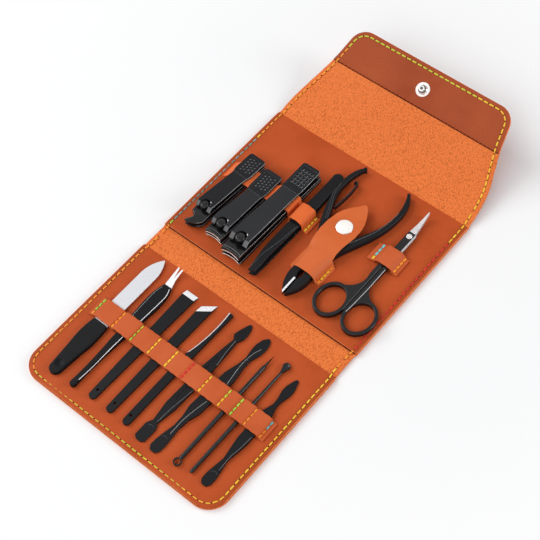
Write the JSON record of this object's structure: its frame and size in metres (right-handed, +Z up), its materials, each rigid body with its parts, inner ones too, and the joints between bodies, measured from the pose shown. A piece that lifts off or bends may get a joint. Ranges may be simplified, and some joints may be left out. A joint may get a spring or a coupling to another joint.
{
  "type": "manicure set case",
  "caption": "Folding leather case lying open on its back, with grooming tools held under stitched straps, fold creases at its spines and a press-stud closing flap.",
  "frame": {"origin": "centre of the middle cover's underside, where the open case rests", "axes": "+X across the case, +Y along it towards the closing flap, +Z up out of the open case"},
  "size_m": [0.155, 0.3158, 0.0353],
  "materials": {
    "smooth": "satin",
    "strap": "satin",
    "pebbled": "pebbled",
    "brown": "satin",
    "nickel": "polished",
    "file_steel": "ground",
    "black_plastic": "satin",
    "black_steel": "satin black"
  },
  "bodies": {
    "case_middle": {"middle_cover": "smooth", "middle_board": "pebbled", "middle_liner": "smooth", "clipper_strap": "strap", "tweezers_loop": "strap", "scissors_strap": "strap", "nipper_sheath": "strap", "sheath_stud": "nickel"},
    "low_spine": {"low_spine_cover": "smooth", "low_spine_lining": "pebbled"},
    "lower_panel": {"lower_cover": "smooth", "lower_board": "pebbled", "lower_liner": "smooth", "tool_strap": "strap", "closure_socket": "nickel"},
    "top_spine": {"top_spine_cover": "smooth", "top_spine_lining": "pebbled"},
    "flap": {"flap_cover": "smooth", "flap_lining": "pebbled", "flap_facing": "brown", "closure_stud": "nickel"},
    "tongue": {"sheath_tongue": "strap", "tongue_cap": "nickel"},
    "file": {"file_blade": "file_steel", "file_handle": "black_plastic"},
    "trimmer": {"trimmer_fork": "file_steel", "trimmer_handle": "black_plastic"},
    "flat_knife": {"flat_knife": "black_steel"},
    "slant_knife": {"slant_knife": "black_steel"},
    "curved_knife": {"curved_knife": "black_steel"},
    "spear_pusher": {"spear_pusher": "black_steel"},
    "leaf_pusher": {"leaf_pusher": "black_steel"},
    "needle": {"needle": "black_steel"},
    "ear_pick": {"ear_pick": "black_steel"},
    "small_pusher": {"small_pusher": "black_steel"},
    "small_clipper": {"small_lower_arm": "black_steel"},
    "small_jaw": {"small_upper_arm": "black_steel", "small_rivet": "black_steel"},
    "small_swing_post": {"small_post": "black_steel"},
    "small_lever_arm": {"small_lever": "black_steel"},
    "medium_clipper": {"medium_lower_arm": "black_steel"},
    "medium_jaw": {"medium_upper_arm": "black_steel", "medium_rivet": "black_steel"},
    "medium_swing_post": {"medium_post": "black_steel"},
    "medium_lever_arm": {"medium_lever": "black_steel"},
    "large_clipper": {"large_lower_arm": "black_steel"},
    "large_jaw": {"large_upper_arm": "black_steel", "large_rivet": "black_steel"},
    "large_swing_post": {"large_post": "black_steel"},
    "large_lever_arm": {"large_lever": "black_steel"},
    "tweezers": {"tweezer_lower_leaf": "black_steel"},
    "tweezers_top_leaf": {"tweezer_upper_leaf": "black_steel"},
    "nipper": {"nipper_left_half": "black_steel", "nipper_rivet": "black_steel", "nipper_spring": "black_steel"},
    "nipper_right": {"nipper_right_half": "black_steel"},
    "scissors": {"scissor_screw": "black_steel"},
    "scissors_right": {"scissor_right_half": "black_steel"},
    "scissors_left": {"scissor_left_half": "black_steel"}
  },
  "joints": [
    {"name": "low_spine_fold", "type": "hinge", "parent": "case_middle", "child": "low_spine", "pos_m": [0, -0.0576, 0.0018], "axis": [1, 0, 0], "range_deg": [-90, 0]},
    {"name": "lower_panel_fold", "type": "hinge", "parent": "low_spine", "child": "lower_panel", "pos_m": [0, -0.0764, 0.0018], "axis": [1, 0, 0], "range_deg": [-90, 0]},
    {"name": "top_spine_fold", "type": "hinge", "parent": "case_middle", "child": "top_spine", "pos_m": [0, 0.0576, 0.0018], "axis": [-1, 0, 0], "range_deg": [-75, 15]},
    {"name": "flap_fold", "type": "hinge", "parent": "top_spine", "child": "flap", "pos_m": [0, 0.0832, 0.00866], "axis": [-1, 0, 0], "range_deg": [-78.33, 15.67]},
    {"name": "tongue_lift", "type": "hinge", "parent": "case_middle", "child": "tongue", "pos_m": [0.0178, -0.0162, 0.0096], "axis": [1, 0, 0], "range_deg": [0, 112]},
    {"name": "file_draw", "type": "slide", "parent": "lower_panel", "child": "file", "axis": [0, -1, 0], "range_m": [0, 0.057]},
    {"name": "trimmer_draw", "type": "slide", "parent": "lower_panel", "child": "trimmer", "axis": [0, -1, 0], "range_m": [0, 0.0585]},
    {"name": "flat_knife_draw", "type": "slide", "parent": "lower_panel", "child": "flat_knife", "axis": [0, -1, 0], "range_m": [0, 0.05]},
    {"name": "slant_knife_draw", "type": "slide", "parent": "lower_panel", "child": "slant_knife", "axis": [0, -1, 0], "range_m": [0, 0.0525]},
    {"name": "curved_knife_draw", "type": "slide", "parent": "lower_panel", "child": "curved_knife", "axis": [0, -1, 0], "range_m": [0, 0.0535]},
    {"name": "spear_pusher_draw", "type": "slide", "parent": "lower_panel", "child": "spear_pusher", "axis": [-0.0297, -0.9996, 0], "range_m": [0, 0.055]},
    {"name": "leaf_pusher_draw", "type": "slide", "parent": "lower_panel", "child": "leaf_pusher", "axis": [-0.0698, -0.9976, 0], "range_m": [0, 0.0545]},
    {"name": "needle_draw", "type": "slide", "parent": "lower_panel", "child": "needle", "axis": [0, -1, 0], "range_m": [0, 0.048]},
    {"name": "ear_pick_draw", "type": "slide", "parent": "lower_panel", "child": "ear_pick", "axis": [0, -1, 0], "range_m": [0, 0.0485]},
    {"name": "small_pusher_draw", "type": "slide", "parent": "lower_panel", "child": "small_pusher", "axis": [-0.007, -1, 0], "range_m": [0, 0.0435]},
    {"name": "small_clipper_draw", "type": "slide", "parent": "case_middle", "child": "small_clipper", "axis": [-0.0419, -0.9991, 0], "range_m": [0, 0.018]},
    {"name": "small_jaw_bite", "type": "hinge", "parent": "small_clipper", "child": "small_jaw", "pos_m": [-0.05885, 0.01065, 0.00465], "axis": [0.9991, -0.0419, 0], "range_deg": [0, 1.64], "stiffness_Nm_per_rad": 0.6},
    {"name": "small_post_swing", "type": "hinge", "parent": "small_clipper", "child": "small_swing_post", "pos_m": [-0.06079, -0.03571, 0.0028], "axis": [0, 0, 1], "range_deg": [0, 180]},
    {"name": "small_lever_lift", "type": "hinge", "parent": "small_swing_post", "child": "small_lever_arm", "pos_m": [-0.06079, -0.03571, 0.01258], "axis": [0.9991, -0.0419, 0], "range_deg": [0, 160]},
    {"name": "medium_clipper_draw", "type": "slide", "parent": "case_middle", "child": "medium_clipper", "axis": [-0.014, -0.9999, 0], "range_m": [0, 0.018]},
    {"name": "medium_jaw_bite", "type": "hinge", "parent": "medium_clipper", "child": "medium_jaw", "pos_m": [-0.04262, 0.00749, 0.00465], "axis": [0.9999, -0.014, 0], "range_deg": [0, 2.51], "stiffness_Nm_per_rad": 0.6},
    {"name": "medium_post_swing", "type": "hinge", "parent": "medium_clipper", "child": "medium_swing_post", "pos_m": [-0.04328, -0.0399, 0.0028], "axis": [0, 0, 1], "range_deg": [0, 180]},
    {"name": "medium_lever_lift", "type": "hinge", "parent": "medium_swing_post", "child": "medium_lever_arm", "pos_m": [-0.04328, -0.0399, 0.01263], "axis": [0.9999, -0.014, 0], "range_deg": [0, 160]},
    {"name": "large_clipper_draw", "type": "slide", "parent": "case_middle", "child": "large_clipper", "axis": [0, -1, 0], "range_m": [0, 0.029]},
    {"name": "large_jaw_bite", "type": "hinge", "parent": "large_clipper", "child": "large_jaw", "pos_m": [-0.0252, 0.0254, 0.00505], "axis": [1, 0, 0], "range_deg": [0, 2.52], "stiffness_Nm_per_rad": 1.5},
    {"name": "large_post_swing", "type": "hinge", "parent": "large_clipper", "child": "large_swing_post", "pos_m": [-0.0252, -0.0421, 0.0028], "axis": [0, 0, 1], "range_deg": [0, 180]},
    {"name": "large_lever_lift", "type": "hinge", "parent": "large_swing_post", "child": "large_lever_arm", "pos_m": [-0.0252, -0.0421, 0.01539], "axis": [1, 0, 0], "range_deg": [0, 160]},
    {"name": "tweezers_draw", "type": "slide", "parent": "case_middle", "child": "tweezers", "axis": [0.0262, -0.9997, 0], "range_m": [0, 0.026]},
    {"name": "tweezers_squeeze", "type": "hinge", "parent": "tweezers", "child": "tweezers_top_leaf", "pos_m": [-0.00975, 0.03037, 0.00405], "axis": [0.9997, 0.0262, 0], "range_deg": [0, 2.16], "stiffness_Nm_per_rad": 0.3},
    {"name": "nipper_draw", "type": "slide", "parent": "case_middle", "child": "nipper", "axis": [0, 1, 0], "range_m": [0, 0.008]},
    {"name": "nipper_squeeze", "type": "hinge", "parent": "nipper", "child": "nipper_right", "pos_m": [0.0178, -0.022, 0.0028], "axis": [0, 0, 1], "range_deg": [0, 2.3], "stiffness_Nm_per_rad": 1},
    {"name": "scissors_draw", "type": "slide", "parent": "case_middle", "child": "scissors", "axis": [0, -1, 0], "range_m": [0, 0.026]},
    {"name": "scissors_open", "type": "hinge", "parent": "scissors", "child": "scissors_right", "pos_m": [0.0536, 0.0268, 0.0028], "axis": [0, 0, 1], "range_deg": [0, 2]},
    {"name": "scissors_open_left", "type": "hinge", "parent": "scissors", "child": "scissors_left", "pos_m": [0.0536, 0.0268, 0.0028], "axis": [0, 0, 1], "range_deg": [-2, 0]}
  ],
  "couplings": [
    {"joint": "lower_panel_fold", "follows": "low_spine_fold", "ratio": 1},
    {"joint": "flap_fold", "follows": "top_spine_fold", "ratio": 1.0444},
    {"joint": "small_lever_lift", "follows": "small_post_swing", "ratio": 0.88889},
    {"joint": "medium_lever_lift", "follows": "medium_post_swing", "ratio": 0.88889},
    {"joint": "large_lever_lift", "follows": "large_post_swing", "ratio": 0.88889},
    {"joint": "scissors_open_left", "follows": "scissors_open", "ratio": -1}
  ]
}
